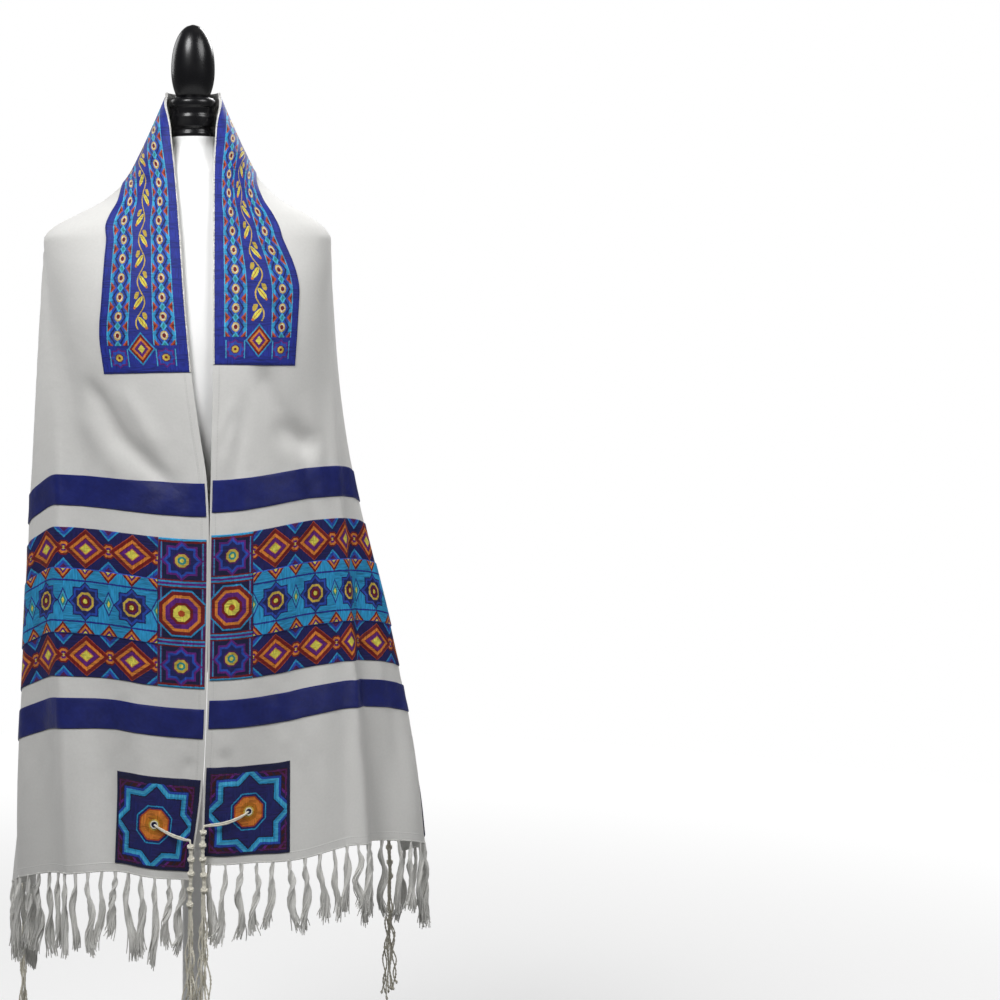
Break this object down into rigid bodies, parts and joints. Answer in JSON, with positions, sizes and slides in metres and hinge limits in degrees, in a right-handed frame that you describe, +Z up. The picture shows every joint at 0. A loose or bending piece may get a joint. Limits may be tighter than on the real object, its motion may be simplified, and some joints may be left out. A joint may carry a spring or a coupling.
{
  "type": "prayer shawl on dress form",
  "caption": "Long rectangular prayer shawl draped over a limbless dress form, with sewn stripes, bands, neckband, corner squares, fringe and corner tassels.",
  "frame": {"origin": "centre of the base's underside, on the floor", "axes": "+Z up along the pole, -Y towards the front of the shawl, +X towards the side with the wider flare"},
  "size_m": [0.5041, 0.36, 1.505],
  "materials": {
    "shawl_cloth": "matt off-white cloth",
    "royal_satin": "royal blue satin",
    "embroidery": "dense embroidery in navy, blue, maroon, orange and gold",
    "turquoise_braid": "embroidered turquoise ribbon",
    "fringe_yarn": "twisted white yarn",
    "form_cover": "smooth white jersey",
    "black_wood": "glossy black lacquer",
    "white_metal": "white powder coat"
  },
  "bodies": {
    "root": {"base": "white_metal", "pole": "white_metal", "form_torso": "form_cover", "neck_cap": "black_wood", "knob": "black_wood", "shawl_body": "shawl_cloth", "neckband": "royal_satin", "upper_stripe_left": "royal_satin", "upper_stripe_right": "royal_satin", "lower_stripe_left": "royal_satin", "lower_stripe_right": "royal_satin", "band_left": "embroidery", "band_right": "embroidery", "band_front_block_left": "embroidery", "band_front_block_right": "embroidery", "band_rear_block_left": "embroidery", "band_rear_block_right": "embroidery", "ribbon_left": "turquoise_braid", "ribbon_right": "turquoise_braid", "front_square_left": "embroidery", "front_square_right": "embroidery", "rear_square_left": "embroidery", "rear_square_right": "embroidery", "fringe_left": "fringe_yarn", "fringe_right": "fringe_yarn", "tassel_front_left": "fringe_yarn", "tassel_front_right": "fringe_yarn", "tassel_rear_left": "fringe_yarn", "tassel_rear_right": "fringe_yarn"}
  },
  "joints": []
}
